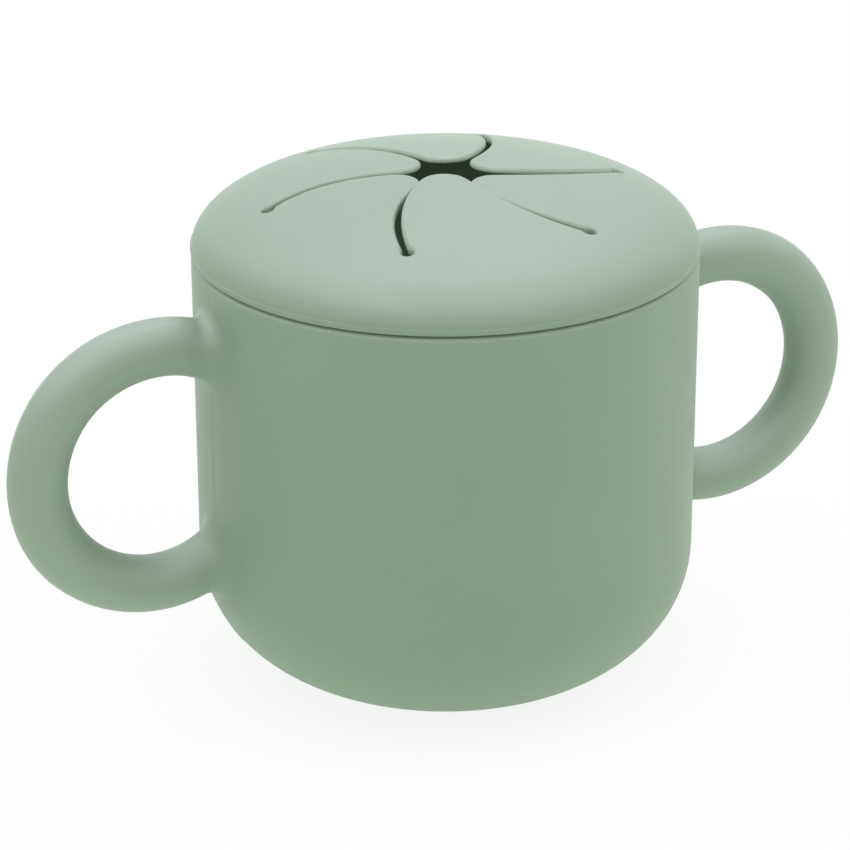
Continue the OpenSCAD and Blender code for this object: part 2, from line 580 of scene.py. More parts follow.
def petal_row(gap):
    """One row of a petal's plan, a gap inside its cut edge: along one slit, round the
    tip and back along the next slit."""
    radius = RELIEF_R + gap
    beside = slit_point(0, TIP_R * math.cos(SECTOR / 2), 0)[0]
    tip = TIP_R * way(math.atan2(beside[1], beside[0]) + SECTOR / 2)
    sides = []
    for k, side in ((0, 1), (1, -1)):
        out = side * (SLIT_W / 2 + gap)
        end = slit_end(k)
        outer = bisect(lambda r: np.linalg.norm(slit_point(k, r, out)[0] - end) - radius,
                       *HOLE_MEETS)
        inner = bisect(lambda r: (slit_point(k, r, out)[0] - tip) @ slit_point(k, r, out)[1],
                       *TIP_MEETS)
        slit = [slit_point(k, r, out)[0] for r in steps(outer, inner, SLIT_STEPS)]
        hole = round_hole(k, hole_start(k, side, gap), slit[0], side, gap, HOLE_STEPS)
        sides.append(hole[:-1] + slit)
    spokes = [side[-1] - tip for side in sides]
    reach = [np.linalg.norm(s) for s in spokes]
    first, last = [math.atan2(s[1], s[0]) for s in spokes]
    while last > first:
        last -= 2 * math.pi
    nose = [tip + (reach[0] + (reach[1] - reach[0]) * i / TIP_STEPS) * way(a)
            for i, a in enumerate(steps(first, last, TIP_STEPS))]
    return sides[0] + nose[1:-1] + sides[1][::-1]


# Points closer than this are one point where a plan is filled
SAME_SPOT = 1e-7


def fill(loops, inside):
    """Triangles between closed loops with loose points inside, as point numbers. The
    first loop is the outer one."""
    points = [p for loop in loops for p in loop] + list(inside)
    edges = []
    first = 0
    for loop in loops:
        edges += [(first + i, first + (i + 1) % len(loop)) for i in range(len(loop))]
        first += len(loop)
    spots, _, triangles, origin, *_ = delaunay_2d_cdt([Vector(p) for p in points],
                                                      edges, [], 0, SAME_SPOT)
    kept = []
    for triangle in triangles:
        centre = sum((spots[i] for i in triangle), Vector((0, 0))) / 3
        if all(is_inside(centre, loop) == (n == 0) for n, loop in enumerate(loops)):
            kept.append([origin[i][0] for i in triangle])
    return kept


def is_inside(spot, loop):
    """Whether a point lies inside a closed loop."""
    loop = np.asarray(loop)
    after = np.roll(loop, -1, axis=0)
    crosses = (loop[:, 1] > spot[1]) != (after[:, 1] > spot[1])
    rise = np.where(after[:, 1] == loop[:, 1], 1, after[:, 1] - loop[:, 1])
    where = loop[:, 0] + (spot[1] - loop[:, 1]) / rise * (after[:, 0] - loop[:, 0])
    return bool(np.count_nonzero(crosses & (spot[0] < where)) % 2)


def keep_clear(spots, loops, clear):
    """The spots that lie between the loops and at least so far from them."""
    edge = np.array([p for loop in loops for p in loop])
    return [s for s in spots
            if all(is_inside(s, loop) == (n == 0) for n, loop in enumerate(loops))
            and np.min(np.linalg.norm(edge - s, axis=1)) > clear]


def hinge_spots(k):
    """The points along a petal's start, between the last rows of its two slit ends."""
    first = hole_start(k, 1, EDGE_GAPS[-1])
    last = hole_start(k + 1, -1, EDGE_GAPS[-1])
    return [first + (last - first) * s for s in steps(0, 1, HINGE_STEPS)[1:-1]]


def join_rows(rows, first=0):
    """Quads between open rows of points that lie one after another."""
    count = len(rows[0])
    return [[first + (row + i) * count + j + k for i, k in ((0, 0), (0, 1), (1, 1), (1, 0))]
            for row in range(len(rows) - 1) for j in range(count - 1)]


def petal_plan():
    """Points, faces and edge gaps of the first petal, seen from above."""
    rows = [petal_row(gap) for gap in EDGE_GAPS]
    points = [p for row in rows for p in row]
    gaps = [gap for gap, row in zip(EDGE_GAPS, rows) for _ in row]
    faces = join_rows(rows)
    start = len(points) - len(rows[-1])
    line = hinge_spots(0)[::-1]
    loop = rows[-1] + line
    out, across = hinge_frame(0)
    grid = []
    for n, depth in enumerate([d - BEND_OUT for d in FIRST_DEPTHS] + DEPTHS):
        pitch = FINE_PITCH if depth < FINE_DEPTH else PITCH
        half = int(PETAL_HALF / pitch)
        grid += [(HINGE_R - depth) * out + (i + 0.5 * (n % 2)) * pitch * across
                 for i in range(-half, half)]
    near = keep_clear(grid, [loop], PETAL_CLEAR)
    near += [p - LINE_CLEAR * out for p in line]
    faces += [[start + i for i in triangle] for triangle in fill([loop], near)]
    points += line + near
    gaps += [EDGE_GAPS[-1]] * (len(line) + len(near))
    return points, faces, gaps


def circle(radius, start, count):
    """Points on a circle round the middle."""
    return [radius * way(a) for a in steps(start, 2 * math.pi + start, count)[:-1]]


def ring_plan():
    """Points, faces and edge gaps of the lid's fixed part round the petals."""
    points, faces, gaps, inner = [], [], [], []
    for k in range(PETALS):
        rows = []
        for gap in EDGE_GAPS:
            start, stop = hole_start(k, -1, gap), hole_start(k, 1, gap)
            rows.append(round_hole(k, start, stop, 1, gap, OUTER_HOLE_STEPS))
        faces += join_rows(rows, len(points))
        points += [p for row in rows for p in row]
        gaps += [gap for gap, row in zip(EDGE_GAPS, rows) for _ in row]
        inner.append((len(points) - len(rows[-1]), rows[-1]))
    loop, numbers = [], []
    for k, (first, row) in enumerate(inner):
        loop += row
        numbers += list(range(first, first + len(row)))
        line = hinge_spots(k)
        loop += line
        numbers += list(range(len(points), len(points) + len(line)))
        points += line
        gaps += [EDGE_GAPS[-1]] * len(line)
    rim = circle(PLAN_R, 0, RIM_POINTS)
    spots = []
    for n, radius in enumerate(RING_CIRCLES):
        spots += circle(radius, CIRCLE_TURN * (n % 2), CIRCLE_POINTS)
    spots = keep_clear(spots, [rim, loop], RING_CLEAR)
    for k in range(PETALS):
        spots += [p + LINE_CLEAR * hinge_frame(k)[0] for p in hinge_spots(k)]
    rest = list(range(len(points), len(points) + len(rim)))
    points += rim
    after = list(range(len(points), len(points) + len(spots)))
    points += spots
    gaps += [EDGE_GAPS[-1]] * (len(rim) + len(spots))
    order = rest + numbers + after
    faces += [[order[i] for i in triangle] for triangle in fill([rim, loop], spots)]
    return points, faces, gaps


def plan_piece(name, plan):
    """A flat piece from a plan, with each point's gap to the nearest cut edge."""
    points, faces, gaps = plan
    points = [(p[0], p[1], 0) for p in points]
    faces = [face if turns_left([points[i] for i in face]) else face[::-1] for face in faces]
    piece = add_piece(name, points, faces)
    edge_gap = piece.data.attributes.new("edge_gap", "FLOAT", "POINT")
    edge_gap.data.foreach_set("value", [g * MM for g in gaps])
    return piece


def turns_left(corners):
    """Whether a face's corners run anticlockwise, seen from above."""
    a, b, c = corners[:3]
    return (b[0] - a[0]) * (c[1] - a[1]) - (b[1] - a[1]) * (c[0] - a[0]) > 0


# Geometry Nodes: a flat plan becomes a domed sheet with rounded cuts

class Tree:
    """A node tree under construction. Numbers and sockets can be mixed in its sums."""

    def __init__(self, tree):
        self.tree = tree
        self.nodes = tree.nodes

    def add(self, kind, **settings):
        node = self.nodes.new(kind)
        for name, value in settings.items():
            setattr(node, name, value)
        return node

    def feed(self, socket, value):
        if isinstance(value, bpy.types.NodeSocket):
            self.tree.links.new(value, socket)
        else:
            socket.default_value = value

    def math(self, operation, *values):
        node = self.add("ShaderNodeMath", operation=operation)
        for socket, value in zip(node.inputs, values):
            self.feed(socket, value)
        return node.outputs[0]


def add_socket(group, way_through, name, kind, value=None):
    """A new input or output of a node group."""
    socket = group.interface.new_socket(name=name, in_out=way_through,
                                        socket_type="NodeSocket" + kind)
    if value is not None:
        socket.default_value = value


def empty_tree(owner):
    """The node tree of a material or world, with nothing in it yet."""
    owner.use_nodes = True
    tree = Tree(owner.node_tree)
    tree.nodes.clear()
    return tree


# The draping tree's inputs and what they are unless a piece sets its own
LID_SIZES = (
    ("Turn", 0.0),
    ("Rim radius", RIM_R * MM),
    ("Rim height", CUP_H * MM),
    ("Dome height", DOME_H * MM),
    ("Dome flatness", DOME_FLAT),
    ("Dome fullness", DOME_FULL),
    ("Thickness", LID_T * MM),
    ("Slit end thickness", SLIT_END_T * MM),
    ("Tip thickness", TIP_T * MM),
    ("Slit end radius", SLIT_END_R * MM),
    ("Tip radius", TIP_R * MM),
    ("Full thickness radius", PLAN_R * MM),
    ("Bending direction", HINGE_A),
    ("Bending start", (HINGE_R + BEND_OUT) * MM),
    ("Lift", 0.0),
    ("Lift start", LIFT_START * MM),
    ("Curl", 0.0),
    ("Curl curve", CURL_CURVE),
    ("Lift reach", LIFT_REACH * MM),
    ("Top edge radius", SLIT_ROUND * MM),
    ("Under edge radius", UNDER_EDGE * MM),
    ("Hollow start", UNDER_R * MM),
    ("Hollow radius", UNDER_ROUND * MM),
    ("Open beyond", 1.0),
)


def dome_height(tree, radius, size):
    """The dome's height above the rim at a radius."""
    share = tree.math("DIVIDE", radius, size["Rim radius"])
    left = tree.math("SUBTRACT", 1.0, tree.math("POWER", share, size["Dome flatness"]))
    full = tree.math("DIVIDE", 1.0, size["Dome fullness"])
    return tree.math("MULTIPLY", size["Dome height"], tree.math("POWER", left, full))


def round_drop(tree, gap, radius):
    """How far a rounded edge of a radius lies below its face at a gap from the edge."""
    inside = tree.math("SUBTRACT", radius, tree.math("MINIMUM", gap, radius))
    square = tree.math("MULTIPLY", radius, radius)
    left = tree.math("SUBTRACT", square, tree.math("MULTIPLY", inside, inside))
    root = tree.math("SQRT", tree.math("MAXIMUM", left, 0.0))
    return tree.math("SUBTRACT", radius, root)


def ramp(tree, value, low, high, least, most):
    """A value carried in a straight line from one range to another, and held past it."""
    node = tree.add("ShaderNodeMapRange")
    for socket, number in zip(node.inputs, (value, low, high, least, most)):
        tree.feed(socket, number)
    return node.outputs[0]


def petal_lift(tree, x, y, size):
    """How far a point stands above the plain dome, from its depth inside the petal."""
    turn = size["Bending direction"]
    out = tree.math("ADD", tree.math("MULTIPLY", x, tree.math("COSINE", turn)),
                    tree.math("MULTIPLY", y, tree.math("SINE", turn)))
    depth = tree.math("MAXIMUM", tree.math("SUBTRACT", size["Bending start"], out), 0.0)
    start = size["Lift start"]
    squares = tree.math("ADD", tree.math("MULTIPLY", depth, depth),
                        tree.math("MULTIPLY", start, start))
    eased = tree.math("SUBTRACT", tree.math("SQRT", squares), start)
    share = tree.math("DIVIDE", eased, size["Lift reach"])
    lift = tree.math("MULTIPLY", size["Lift"], share)
    curl = tree.math("MULTIPLY", size["Curl"], tree.math("POWER", share, size["Curl curve"]))
    return tree.math("ADD", lift, curl)


# Points closer than this, in metres, are one point in the draped sheet
SAME_PLACE = 1e-6


def draping_tree():
    """The tree that turns a plan round the lid's middle and makes it a domed sheet."""
    group = bpy.data.node_groups.new("drape_on_dome", "GeometryNodeTree")
    add_socket(group, "INPUT", "Geometry", "Geometry")
    for name, value in LID_SIZES:
        add_socket(group, "INPUT", name, "Float", value)
    add_socket(group, "INPUT", "Finish", "Material")
    add_socket(group, "OUTPUT", "Geometry", "Geometry")
    tree = Tree(group)
    size = tree.add("NodeGroupInput").outputs
    plan = size["Geometry"]
    spot = tree.add("ShaderNodeSeparateXYZ")
    tree.feed(spot.inputs[0], tree.add("GeometryNodeInputPosition").outputs[0])
    x, y = spot.outputs[0], spot.outputs[1]
    squares = tree.math("ADD", tree.math("MULTIPLY", x, x), tree.math("MULTIPLY", y, y))
    radius = tree.math("SQRT", squares)
    gap = tree.add("GeometryNodeInputNamedAttribute", data_type="FLOAT")
    gap.inputs["Name"].default_value = "edge_gap"
    gap = gap.outputs["Attribute"]

    raised = tree.math("ADD", size["Rim height"], petal_lift(tree, x, y, size))
    top = tree.math("ADD", raised, dome_height(tree, radius, size))
    top = tree.math("SUBTRACT", top, round_drop(tree, gap, size["Top edge radius"]))
    held = tree.math("MINIMUM", radius, size["Hollow start"])
    under = tree.math("ADD", raised, dome_height(tree, held, size))
    thin = ramp(tree, radius, size["Tip radius"], size["Slit end radius"],
                size["Tip thickness"], size["Slit end thickness"])
    thick = ramp(tree, radius, size["Slit end radius"], size["Full thickness radius"],
                 0.0, tree.math("SUBTRACT", size["Thickness"], size["Slit end thickness"]))
    under = tree.math("SUBTRACT", under, tree.math("ADD", thin, thick))
    past = tree.math("SUBTRACT", size["Hollow radius"], tree.math("SUBTRACT", radius, held))
    under = tree.math("SUBTRACT", under, round_drop(tree, past, size["Hollow radius"]))
    under = tree.math("ADD", under, round_drop(tree, gap, size["Under edge radius"]))

    def place(geometry, z, chosen=None):
        """Moves a sheet's points to a height."""
        to = tree.add("ShaderNodeCombineXYZ")
        for socket, value in zip(to.inputs, (x, y, z)):
            tree.feed(socket, value)
        move = tree.add("GeometryNodeSetPosition")
        tree.feed(move.inputs["Geometry"], geometry)
        if chosen is not None:
            tree.feed(move.inputs["Selection"], chosen)
        tree.feed(move.inputs["Position"], to.outputs[0])
        return move.outputs[0]

    sides = tree.add("GeometryNodeInputMeshEdgeNeighbors")
    alone = tree.add("FunctionNodeCompare", data_type="INT", operation="EQUAL")
    tree.feed(alone.inputs[2], sides.outputs[0])
    alone.inputs[3].default_value = 1
    within = tree.add("FunctionNodeCompare", data_type="FLOAT", operation="LESS_THAN")
    tree.feed(within.inputs[0], radius)
    tree.feed(within.inputs[1], size["Open beyond"])
    both = tree.add("FunctionNodeBooleanMath", operation="AND")
    tree.feed(both.inputs[0], alone.outputs[0])
    tree.feed(both.inputs[1], within.outputs[0])
    walls = tree.add("GeometryNodeExtrudeMesh", mode="EDGES")
    tree.feed(walls.inputs["Mesh"], place(plan, top))
    tree.feed(walls.inputs["Selection"], both.outputs[0])
    walls.inputs["Offset Scale"].default_value = 0.0
    upper = place(walls.outputs["Mesh"], under, walls.outputs["Top"])
    flip = tree.add("GeometryNodeFlipFaces")
    tree.feed(flip.inputs[0], place(plan, under))
    sheet = tree.add("GeometryNodeJoinGeometry")
    tree.feed(sheet.inputs[0], upper)
    tree.feed(sheet.inputs[0], flip.outputs[0])
    merge = tree.add("GeometryNodeMergeByDistance")
    tree.feed(merge.inputs["Geometry"], sheet.outputs[0])
    merge.inputs["Distance"].default_value = SAME_PLACE
    turn = tree.add("GeometryNodeTransform")
    tree.feed(turn.inputs["Geometry"], merge.outputs[0])
    angles = tree.add("ShaderNodeCombineXYZ")
    tree.feed(angles.inputs["Z"], size["Turn"])
    tree.feed(turn.inputs["Rotation"], angles.outputs[0])
    real = tree.add("GeometryNodeRealizeInstances")
    tree.feed(real.inputs[0], turn.outputs[0])
    paint = tree.add("GeometryNodeSetMaterial")
    tree.feed(paint.inputs["Geometry"], real.outputs[0])
    tree.feed(paint.inputs["Material"], size["Finish"])
    tree.feed(tree.add("NodeGroupOutput").inputs[0], paint.outputs[0])
    return group


def drape(plan, name, tree, finish, **sizes):
    """A solid lid piece from a flat plan, as a plain mesh."""
    piece = add_object(name, plan.data)
    modifier = piece.modifiers.new("drape", "NODES")
    modifier.node_group = tree
    for item in tree.interface.items_tree:
        if item.in_out != "INPUT":
            continue
        key = item.name.lower().replace(" ", "_")
        if item.name == "Finish":
            modifier[item.identifier] = finish
        elif key in sizes:
            modifier[item.identifier] = sizes[key]
    graph = bpy.context.evaluated_depsgraph_get()
    mesh = bpy.data.meshes.new_from_object(piece.evaluated_get(graph), depsgraph=graph)
    piece.modifiers.remove(modifier)
    piece.data = mesh
    mesh.name = name
    return piece


# The lid

# The rows of each curve in its section
DOME_ROWS = 24
EDGE_CURVE_ROWS = 7
BEAD_ROWS = 8
LEAD_ROWS = 6
HOLLOW_ROWS = 8
LID_CREASE = 40

# The draped ring is open past this radius, where its shoulder joins on
OPEN_BEYOND = PLAN_R - 0.05


def lid_section():
    """Points (r, z) from the plan's rim over the shoulder, round the skirt and back."""
    def dome_point(a):
        return (RIM_R * math.cos(a) ** (2 / DOME_FLAT),
                CUP_H + DOME_H * math.sin(a) ** (2 / DOME_FULL))

    first = math.acos((PLAN_R / RIM_R) ** (DOME_FLAT / 2))
    last = math.asin((LIP_H / DOME_H) ** (DOME_FULL / 2))
    section = [dome_point(a) for a in steps(first, last, DOME_ROWS)[1:]]
    shoulder_r = section[-1][0] + LIP_OUT
    # Two points round the lip's upper edge
    section += [(shoulder_r - 0.25 * LIP_OUT, CUP_H + LIP_H - 0.25 * LIP_OUT),
                (shoulder_r, CUP_H + LIP_H - 0.8 * LIP_OUT)]
    edge_z = CUP_H + SEAM_GAP + LID_EDGE
    section += arc((shoulder_r - LID_EDGE, edge_z), LID_EDGE, 0, -90, EDGE_CURVE_ROWS)
    section += [(r, CUP_H) for r in steps(shoulder_r - 3 * LID_EDGE, SKIRT_R, 2)]
    bead_z = CUP_H - SKIRT_H / 2
    bead_x = SKIRT_R + BEAD_OUT - BEAD_R
    lean = math.degrees(math.acos((BEAD_R - BEAD_OUT) / BEAD_R))
    section += arc((bead_x, bead_z), BEAD_R, lean, -lean, BEAD_ROWS)
    lead = SKIRT_T / 3
    lead_z = CUP_H - SKIRT_H + lead
    section += [(SKIRT_R, lead_z)]
    section += arc((SKIRT_R - lead, lead_z), lead, 0, -90, LEAD_ROWS)[1:]
    section += arc((SKIRT_IN_R + lead, lead_z), lead, -90, -180, LEAD_ROWS)
    hollow_z = CUP_H + dome_top(UNDER_R) - LID_T - UNDER_ROUND
    end = math.degrees(math.acos((PLAN_R - UNDER_R) / UNDER_ROUND))
    section += arc((UNDER_R, hollow_z), UNDER_ROUND, 0, end, HOLLOW_ROWS)[:-1]
    return section


def dome_top(r):
    """Height of the dome's top above the rim at a radius."""
    return DOME_H * (1 - (r / RIM_R) ** DOME_FLAT) ** (1 / DOME_FULL)


def add_shoulder(piece):
    """Joins the lid's shoulder and plug skirt to the open rim of its draped middle."""
    shell = bmesh.new()
    shell.from_mesh(piece.data)
    shell.faces.ensure_lookup_table()
    finish_slot = shell.faces[0].material_index
    middle_z = (CUP_H + dome_top(PLAN_R) - LID_T / 2) * MM
    open_rim = [v for v in shell.verts if v.is_boundary]

    def around(vertex):
        """A point's turn round the middle. One just short of a full turn counts as 0."""
        return math.atan2(vertex.co.y, vertex.co.x) % (2 * math.pi - 1e-6)

    above = sorted((v for v in open_rim if v.co.z > middle_z), key=around)
    below = sorted((v for v in open_rim if v.co.z < middle_z), key=around)
    rows = [above]
    edge_gap = shell.verts.layers.float["edge_gap"]
    for r, z in lid_section():
        row = [shell.verts.new((v.co.x * r / PLAN_R, v.co.y * r / PLAN_R, z * MM))
               for v in above]
        for vertex in row:
            vertex[edge_gap] = EDGE_GAPS[-1] * MM
        rows.append(row)
    rows.append(below)
    for one, other in zip(rows, rows[1:]):
        for i in range(len(one)):
            j = (i + 1) % len(one)
            face = shell.faces.new((one[i], other[i], other[j], one[j]))
            face.material_index = finish_slot
    bmesh.ops.recalc_face_normals(shell, faces=shell.faces)
    shell.to_mesh(piece.data)
    shell.free()


def bending_point(k, out):
    """A point this far outside petal k's bending line, in metres."""
    spot = hinge_frame(k)[0] * (HINGE_R + out)
    low = CUP_H + dome_top(SLIT_END_R) - LID_T
    height = (CUP_H + dome_top(HINGE_R) + low) / 2
    return Vector((spot[0], spot[1], height)) * MM


def make_lid(finish):
    """The lid's fixed part and its six petals."""
    tree = draping_tree()
    plan = plan_piece("ring_plan", ring_plan())
    ring = drape(plan, "lid_dome", tree, finish, open_beyond=OPEN_BEYOND * MM)
    bpy.data.objects.remove(plan)
    add_shoulder(ring)
    shade(ring, LID_CREASE)
    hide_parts("lid_ring")
    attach(ring, "lid")
    plan = plan_piece("petal_plan", petal_plan())
    for k in range(PETALS):
        lift, curl = PETAL_LIFTS[k]
        petal = drape(plan, f"lid_petal_{k + 1}", tree, finish, turn=SECTOR * k,
                      lift=lift * MM, curl=curl * MM)
        shade(petal, LID_CREASE)
        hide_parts(f"petal_{k + 1}")
        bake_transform(petal, "lid", f"petal_{k + 1}",
                 start=bending_point(k, BEND_OUT), end=bending_point(k, -BEND_IN))
    bpy.data.objects.remove(plan)


# Finishes

# The silicone's colour, and paler copies of it painted on the handles and the slits' cut walls: painted
# light, standing for light that soaks through the silicone and lifting their shade
TINT = (0.208, 0.294, 0.201)
HANDLE_PAINTED_LIGHT_TINT = (0.249, 0.336, 0.242)
CUT_PAINTED_LIGHT_TINT = (0.41, 0.54, 0.395)

# Its skin. The scales count features to the metre, and the rest is in metres.
MOTTLE = 0.06
CLOUD_SCALE = 45.0
SPECK_SCALE = 1400.0
SPECK_SHARE = 0.6
GRAIN_SIZE = 0.0003
GRAIN_STRENGTH = 0.25
GRAIN_DEPTH = 0.00003
ROUGHNESS = 0.55
UNEVENNESS = 0.05
UNEVEN_SCALE = 160.0
SILICONE_IOR = 1.42

# Where the painted light ends: how far from a cut edge, and how far from the middle
# the handles' painted light starts and is full
CUT_FADE = 0.15
HANDLE_FROM = RIM_R - 1
HANDLE_FULL = RIM_R + 6


def skin_group():
    """A matte moulded skin: soft mottling, fine speckle and a spark-worn grain."""
    group = bpy.data.node_groups.new("moulded_skin", "ShaderNodeTree")
    for name, kind, value in (("Colour", "Color", (*TINT, 1)),
                              ("Mottle", "Float", MOTTLE),
                              ("Grain size", "Float", GRAIN_SIZE),
                              ("Roughness", "Float", ROUGHNESS),
                              ("Unevenness", "Float", UNEVENNESS)):
        add_socket(group, "INPUT", name, kind, value)
    for name, kind in (("Colour", "Color"), ("Roughness", "Float"), ("Height", "Float")):
        add_socket(group, "OUTPUT", name, kind)
    tree = Tree(group)
    size = tree.add("NodeGroupInput").outputs
    place = tree.add("ShaderNodeTexCoord").outputs["Object"]

    def noise(scale, detail, rough=0.5):
        node = tree.add("ShaderNodeTexNoise")
        tree.feed(node.inputs["Vector"], place)
        tree.feed(node.inputs["Scale"], scale)
        node.inputs["Detail"].default_value = detail
        node.inputs["Roughness"].default_value = rough
        return node.outputs["Fac"]

    cloud = tree.math("SUBTRACT", noise(CLOUD_SCALE, 3.0), 0.5)
    speck = tree.math("SUBTRACT", noise(SPECK_SCALE, 2.0), 0.5)
    both = tree.math("ADD", cloud, tree.math("MULTIPLY", speck, SPECK_SHARE))
    lift = tree.math("ADD", 1.0, tree.math("MULTIPLY", both, size["Mottle"]))
    colour = tree.add("ShaderNodeVectorMath", operation="SCALE")
    tree.feed(colour.inputs[0], size["Colour"])
    tree.feed(colour.inputs["Scale"], lift)
    grain_scale = tree.math("DIVIDE", 1.0, size["Grain size"])
    grain = noise(grain_scale, 3.0, 0.6)
    waves = tree.math("SUBTRACT", noise(UNEVEN_SCALE, 2.0), 0.5)
    uneven = tree.math("MULTIPLY", waves, size["Unevenness"])
    out = tree.add("NodeGroupOutput")
    tree.feed(out.inputs["Colour"], colour.outputs[0])
    tree.feed(out.inputs["Roughness"], tree.math("ADD", size["Roughness"], uneven))
    tree.feed(out.inputs["Height"], grain)
    return group


def cut_walls_painted_light_mask(tree):
    """Where painted light goes: 1 on the cut walls of the lid's slits, easing to 0 over their rounded edges.
    """
    gap = tree.add("ShaderNodeAttribute", attribute_name="edge_gap").outputs["Fac"]
    return ramp(tree, gap, 0.0, CUT_FADE * MM, 1.0, 0.0)


def handles_painted_light_mask(tree):
    """Where painted light goes: 1 on the handles, easing to 0 over their roots."""
    parts = tree.add("ShaderNodeSeparateXYZ")
    tree.feed(parts.inputs[0], tree.add("ShaderNodeTexCoord").outputs["Object"])
    across = tree.math("ABSOLUTE", parts.outputs["X"])
    return ramp(tree, across, HANDLE_FROM * MM, HANDLE_FULL * MM, 0.0, 1.0)


def silicone(name, skin, painted_light_where, painted_light_colour):
    """Soft matte silicone, with painted light: a paler colour, mixed in where a mask says,
    stands for light that soaks through the silicone."""
    material = bpy.data.materials.new(name)
    tree = empty_tree(material)
    grain = tree.add("ShaderNodeGroup", node_tree=skin)
    painted_light_mix = tree.add("ShaderNodeMix", data_type="RGBA")
    # Painted light: the paler colour is mixed in where the mask says
    tree.feed(painted_light_mix.inputs[0], painted_light_where(tree))
    painted_light_mix.inputs[6].default_value = (*TINT, 1)
    painted_light_mix.inputs[7].default_value = (*painted_light_colour, 1)
    tree.feed(grain.inputs["Colour"], painted_light_mix.outputs[2])
    bump = tree.add("ShaderNodeBump")
    bump.inputs["Strength"].default_value = GRAIN_STRENGTH
    bump.inputs["Distance"].default_value = GRAIN_DEPTH
    tree.feed(bump.inputs["Height"], grain.outputs["Height"])
    shader = tree.add("ShaderNodeBsdfPrincipled")
    tree.feed(shader.inputs["Base Color"], grain.outputs["Colour"])
    tree.feed(shader.inputs["Roughness"], grain.outputs["Roughness"])
    tree.feed(shader.inputs["Normal"], bump.outputs[0])
    shader.inputs["IOR"].default_value = SILICONE_IOR
    out = tree.add("ShaderNodeOutputMaterial")
    tree.feed(out.inputs["Surface"], shader.outputs[0])
    return material


# Floor, light and camera. Levels are shares of white.

# How strongly the seen floor takes shade and how bright it is of itself, and the
# same two for the floor that the container is lit by
FLOOR_HALF = 3000.0
SEEN_SHADE = 0.25
SEEN_LEVEL = 0.82
BOUNCE_SHADE = 0.9
BOUNCE_LEVEL = 0.54

# The room's even level, how much brighter it is low down at the sides, and the
# share of that behind
ROOM_LEVEL = 0.73
SIDE_LEVEL = 1.4
BEHIND_SHARE = 0.4

# The panels that only the skin's gloss shows, in metres and degrees
PANEL_TINT = (0.86, 0.80, 0.95)
OVERHEAD_UP = 0.9
OVERHEAD_SIZE = 1.6
OVERHEAD_LEVEL = 8.7
WALL_PANELS = 6
WALL_TURN = 65
WALL_AWAY = 1.2
WALL_UP = 0.85
WALL_WIDE = 1.39
WALL_HIGH = 1.0
WALL_LEVEL = 2.2
BEHIND_LEVEL = 1.4

# The little light inside the cup, in watts and metres
INNER_POWER = 0.006
INNER_SIZE = 0.012
INNER_UP = 0.04

# The photograph's camera, in millimetres, pixels and degrees
CAMERA_AZIMUTH = -25.10
CAMERA_ELEVATION = 22.88
CAMERA_ROLL = -0.19
CAMERA_AWAY = 479.63
CAMERA_ROUND = 42.35
AIM_ACROSS = -3.28
AIM_UP = 39.19
FOCAL_PIXELS = 2975.6
PHOTO_PIXELS = 850.0
SENSOR = 36.0


def unlike_camera(tree, seen_value, other_value):
    """A value for camera and transmission rays, and another one for all other rays."""
    rays = tree.add("ShaderNodeLightPath").outputs
    seen = tree.math("MAXIMUM", rays["Is Camera Ray"], rays["Is Transmission Ray"])
    return ramp(tree, seen, 0.0, 1.0, other_value, seen_value)


def make_stage():
    """A plain white floor that keeps the container's shadow."""
    corners = [(x * FLOOR_HALF, y * FLOOR_HALF, 0)
               for x, y in ((-1, -1), (1, -1), (1, 1), (-1, 1))]
    floor = add_piece("floor", corners, [(0, 1, 2, 3)])
    material = bpy.data.materials.new("floor_white")
    tree = empty_tree(material)
    shade_taken = unlike_camera(tree, SEEN_SHADE, BOUNCE_SHADE)
    colour = tree.add("ShaderNodeCombineColor")
    for socket in colour.inputs[:3]:
        tree.feed(socket, shade_taken)
    matte = tree.add("ShaderNodeBsdfDiffuse")
    tree.feed(matte.inputs["Color"], colour.outputs[0])
    glow = tree.add("ShaderNodeEmission")
    tree.feed(glow.inputs["Strength"], unlike_camera(tree, SEEN_LEVEL, BOUNCE_LEVEL))
    both = tree.add("ShaderNodeAddShader")
    tree.feed(both.inputs[0], matte.outputs[0])
    tree.feed(both.inputs[1], glow.outputs[0])
    out = tree.add("ShaderNodeOutputMaterial")
    tree.feed(out.inputs["Surface"], both.outputs[0])
    floor.data.materials.append(material)


def make_world():
    """An even white studio, brighter low down at both sides and behind."""
    world = bpy.data.worlds.new("studio")
    bpy.context.scene.world = world
    tree = empty_tree(world)
    ray = tree.add("ShaderNodeTexCoord").outputs["Generated"]
    up = tree.add("ShaderNodeSeparateXYZ")
    tree.feed(up.inputs[0], ray)
    low = tree.math("SUBTRACT", 1.0, tree.math("MAXIMUM", up.outputs["Z"], 0.0))
    turn = math.radians(CAMERA_AZIMUTH)

    def towards(x, y):
        """How far a ray leans towards a level direction."""
        lean = tree.add("ShaderNodeVectorMath", operation="DOT_PRODUCT")
        tree.feed(lean.inputs[0], ray)
        lean.inputs[1].default_value = (x, y, 0)
        return lean.outputs["Value"]

    across = towards(math.cos(turn), math.sin(turn))
    behind = tree.math("MAXIMUM", towards(-math.sin(turn), math.cos(turn)), 0.0)
    share = tree.math("MULTIPLY", tree.math("MULTIPLY", behind, behind), BEHIND_SHARE)
    sides = tree.math("ADD", tree.math("MULTIPLY", across, across), share)
    extra = tree.math("MULTIPLY", tree.math("MULTIPLY", sides, low), SIDE_LEVEL)
    room = tree.math("ADD", ROOM_LEVEL, extra)
    glow = tree.add("ShaderNodeBackground")
    tree.feed(glow.inputs["Strength"], unlike_camera(tree, 1.0, room))
    out = tree.add("ShaderNodeOutputWorld")
    tree.feed(out.inputs["Surface"], glow.outputs[0])


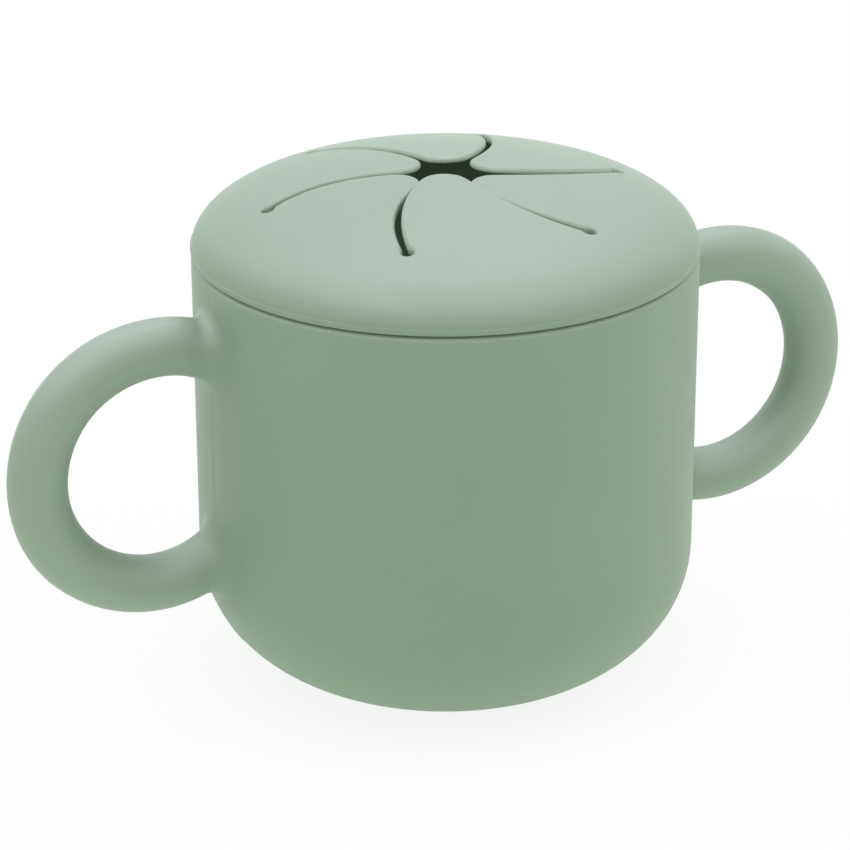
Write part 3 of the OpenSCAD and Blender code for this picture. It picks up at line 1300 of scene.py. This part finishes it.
def add_panel(name, place, aim, width, height, brightness):
    """A rectangular light panel that only the skin's gloss shows."""
    lamp = bpy.data.lights.new(name, "AREA")
    lamp.shape = "RECTANGLE"
    lamp.size, lamp.size_y = width, height
    lamp.energy = brightness * math.pi * width * height
    lamp.color = PANEL_TINT
    panel = add_object(name, lamp)
    panel.location = place
    towards = Vector(aim) - Vector(place)
    panel.rotation_euler = towards.to_track_quat("-Z", "Y").to_euler()
    panel.visible_camera = False
    panel.visible_diffuse = False


def make_panels():
    """One panel overhead and a ring of them around. The one behind is the dimmest."""
    add_panel("overhead_panel", (0, 0, OVERHEAD_UP), (0, 0, 0), OVERHEAD_SIZE,
              OVERHEAD_SIZE, OVERHEAD_LEVEL)
    for k in range(WALL_PANELS):
        a = math.radians(360 / WALL_PANELS * k + WALL_TURN)
        place = (WALL_AWAY * math.cos(a), WALL_AWAY * math.sin(a), WALL_UP)
        add_panel(f"wall_panel_{k + 1}", place, (0, 0, WALL_UP), WALL_WIDE, WALL_HIGH,
                  BEHIND_LEVEL if k == 0 else WALL_LEVEL)


def make_inner_glow():
    """A little light inside the cup, as soaks in through its wall."""
    inner = bpy.data.lights.new("inner_glow", "POINT")
    inner.energy = INNER_POWER
    inner.shadow_soft_size = INNER_SIZE
    glow = add_object("inner_glow", inner)
    glow.location = (0, 0, INNER_UP)
    glow.visible_camera = False


def make_camera():
    """The camera that took the photograph, as its outlines give it."""
    a, e = math.radians(CAMERA_AZIMUTH), math.radians(CAMERA_ELEVATION)
    back = Vector((math.sin(a) * math.cos(e), -math.cos(a) * math.cos(e), math.sin(e)))
    place = back * CAMERA_AWAY + Vector((0, 0, CAMERA_ROUND))
    aim = Vector((math.cos(a), math.sin(a), 0)) * AIM_ACROSS + Vector((0, 0, AIM_UP))
    forward = (aim - place).normalized()
    right = forward.cross(Vector((0, 0, 1))).normalized()
    up = right.cross(forward)
    turn = Matrix((right, up, -forward)).transposed()
    turn = turn @ Matrix.Rotation(math.radians(CAMERA_ROLL), 3, "Z")
    lens = bpy.data.cameras.new("photo_camera")
    lens.sensor_width = SENSOR
    lens.lens = FOCAL_PIXELS / PHOTO_PIXELS * SENSOR
    camera = add_object("photo_camera", lens)
    camera.matrix_world = Matrix.Translation(place * MM) @ turn.to_4x4()
    bpy.context.scene.camera = camera
    bpy.context.scene.view_settings.view_transform = "Standard"


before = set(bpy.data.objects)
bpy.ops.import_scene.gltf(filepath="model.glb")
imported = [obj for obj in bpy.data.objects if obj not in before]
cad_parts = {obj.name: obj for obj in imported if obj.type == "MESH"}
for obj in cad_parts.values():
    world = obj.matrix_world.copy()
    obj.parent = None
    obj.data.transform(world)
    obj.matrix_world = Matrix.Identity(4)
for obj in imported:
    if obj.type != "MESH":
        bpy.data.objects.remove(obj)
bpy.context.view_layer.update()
SKIN = skin_group()
# Painted light: the handles get a paler colour than the rest of the cup
make_cup(silicone("cup_silicone", SKIN, handles_painted_light_mask, HANDLE_PAINTED_LIGHT_TINT))
# Painted light: the slits' cut walls get a paler colour than the rest of the lid
make_lid(silicone("lid_silicone", SKIN, cut_walls_painted_light_mask, CUT_PAINTED_LIGHT_TINT))
make_stage()
make_world()
make_panels()
make_inner_glow()
make_camera()
